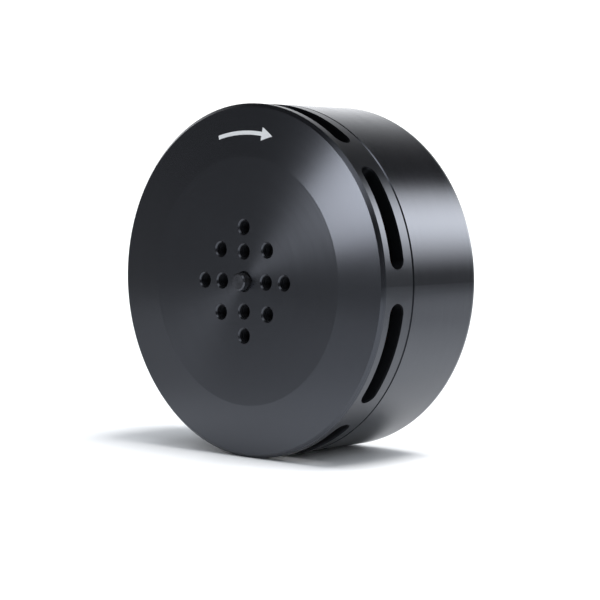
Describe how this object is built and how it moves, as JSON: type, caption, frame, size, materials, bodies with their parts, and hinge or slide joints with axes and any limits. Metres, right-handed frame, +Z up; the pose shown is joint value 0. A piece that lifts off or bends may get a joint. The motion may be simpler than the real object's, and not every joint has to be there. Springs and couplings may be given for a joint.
{
  "type": "brushless outrunner motor",
  "caption": "Flat black brushless outrunner motor: slotted rotor cap and flux ring turning on bearings round a wound stator with a bolt-on base.",
  "frame": {"origin": "centre of the rear mounting face, on the shaft axis", "axes": "shaft along Y, propeller face towards -Y, mounting face towards +Y, +Z up"},
  "size_m": [0.08, 0.0364, 0.08],
  "materials": {
    "cap_black": "satin black anodised, fine turned finish",
    "ring_black": "satin black coated steel, brushed round the axis",
    "base_black": "satin black anodised, machined",
    "shaft_steel": "blackened ground steel",
    "steel_bright": "plain steel",
    "screw_black": "black oxide steel",
    "bearing_steel": "polished bearing steel",
    "bearing_cage": "nylon cage",
    "magnet_nickel": "nickel plated magnet",
    "laminations": "stacked silicon steel, epoxy coated",
    "insulator": "glass fibre sheet",
    "winding": "dark enamelled copper wire",
    "sleeve": "heat-shrink sleeve",
    "grommet": "black rubber"
  },
  "bodies": {
    "stator": {"stator_mount": "base_black", "stator_core": "laminations", "end_insulator_front": "insulator", "end_insulator_rear": "insulator", "coils_phase_a": "winding", "coils_phase_b": "winding", "coils_phase_c": "winding", "crossover_wires": "winding", "star_point_sleeve": "sleeve", "preload_washer": "steel_bright", "lead_grommet": "grommet", "front_bearing_outer_race": "bearing_steel", "front_bearing_shields": "steel_bright", "rear_bearing_outer_race": "bearing_steel", "rear_bearing_shields": "steel_bright"},
    "rotor": {"front_cap": "cap_black", "flux_ring": "ring_black", "magnets_north": "magnet_nickel", "magnets_south": "magnet_nickel", "shaft": "shaft_steel", "shaft_grub_screws": "screw_black", "front_spacer": "steel_bright", "rear_shim": "steel_bright", "shaft_circlip": "screw_black", "front_bearing_inner_race": "bearing_steel", "rear_bearing_inner_race": "bearing_steel"},
    "front_ball_set": {"front_bearing_balls": "bearing_steel", "front_bearing_cage": "bearing_cage"},
    "rear_ball_set": {"rear_bearing_balls": "bearing_steel", "rear_bearing_cage": "bearing_cage"}
  },
  "joints": [
    {"name": "rotor_spin", "type": "hinge", "parent": "stator", "child": "rotor", "pos_m": [0, 0, 0], "axis": [0, 1, 0], "continuous": true},
    {"name": "front_cage_spin", "type": "hinge", "parent": "stator", "child": "front_ball_set", "pos_m": [0, -0.0215, 0], "axis": [0, 1, 0], "continuous": true},
    {"name": "rear_cage_spin", "type": "hinge", "parent": "stator", "child": "rear_ball_set", "pos_m": [0, -0.0049, 0], "axis": [0, 1, 0], "continuous": true}
  ],
  "couplings": [
    {"joint": "front_cage_spin", "follows": "rotor_spin", "ratio": 0.4},
    {"joint": "rear_cage_spin", "follows": "rotor_spin", "ratio": 0.4}
  ]
}
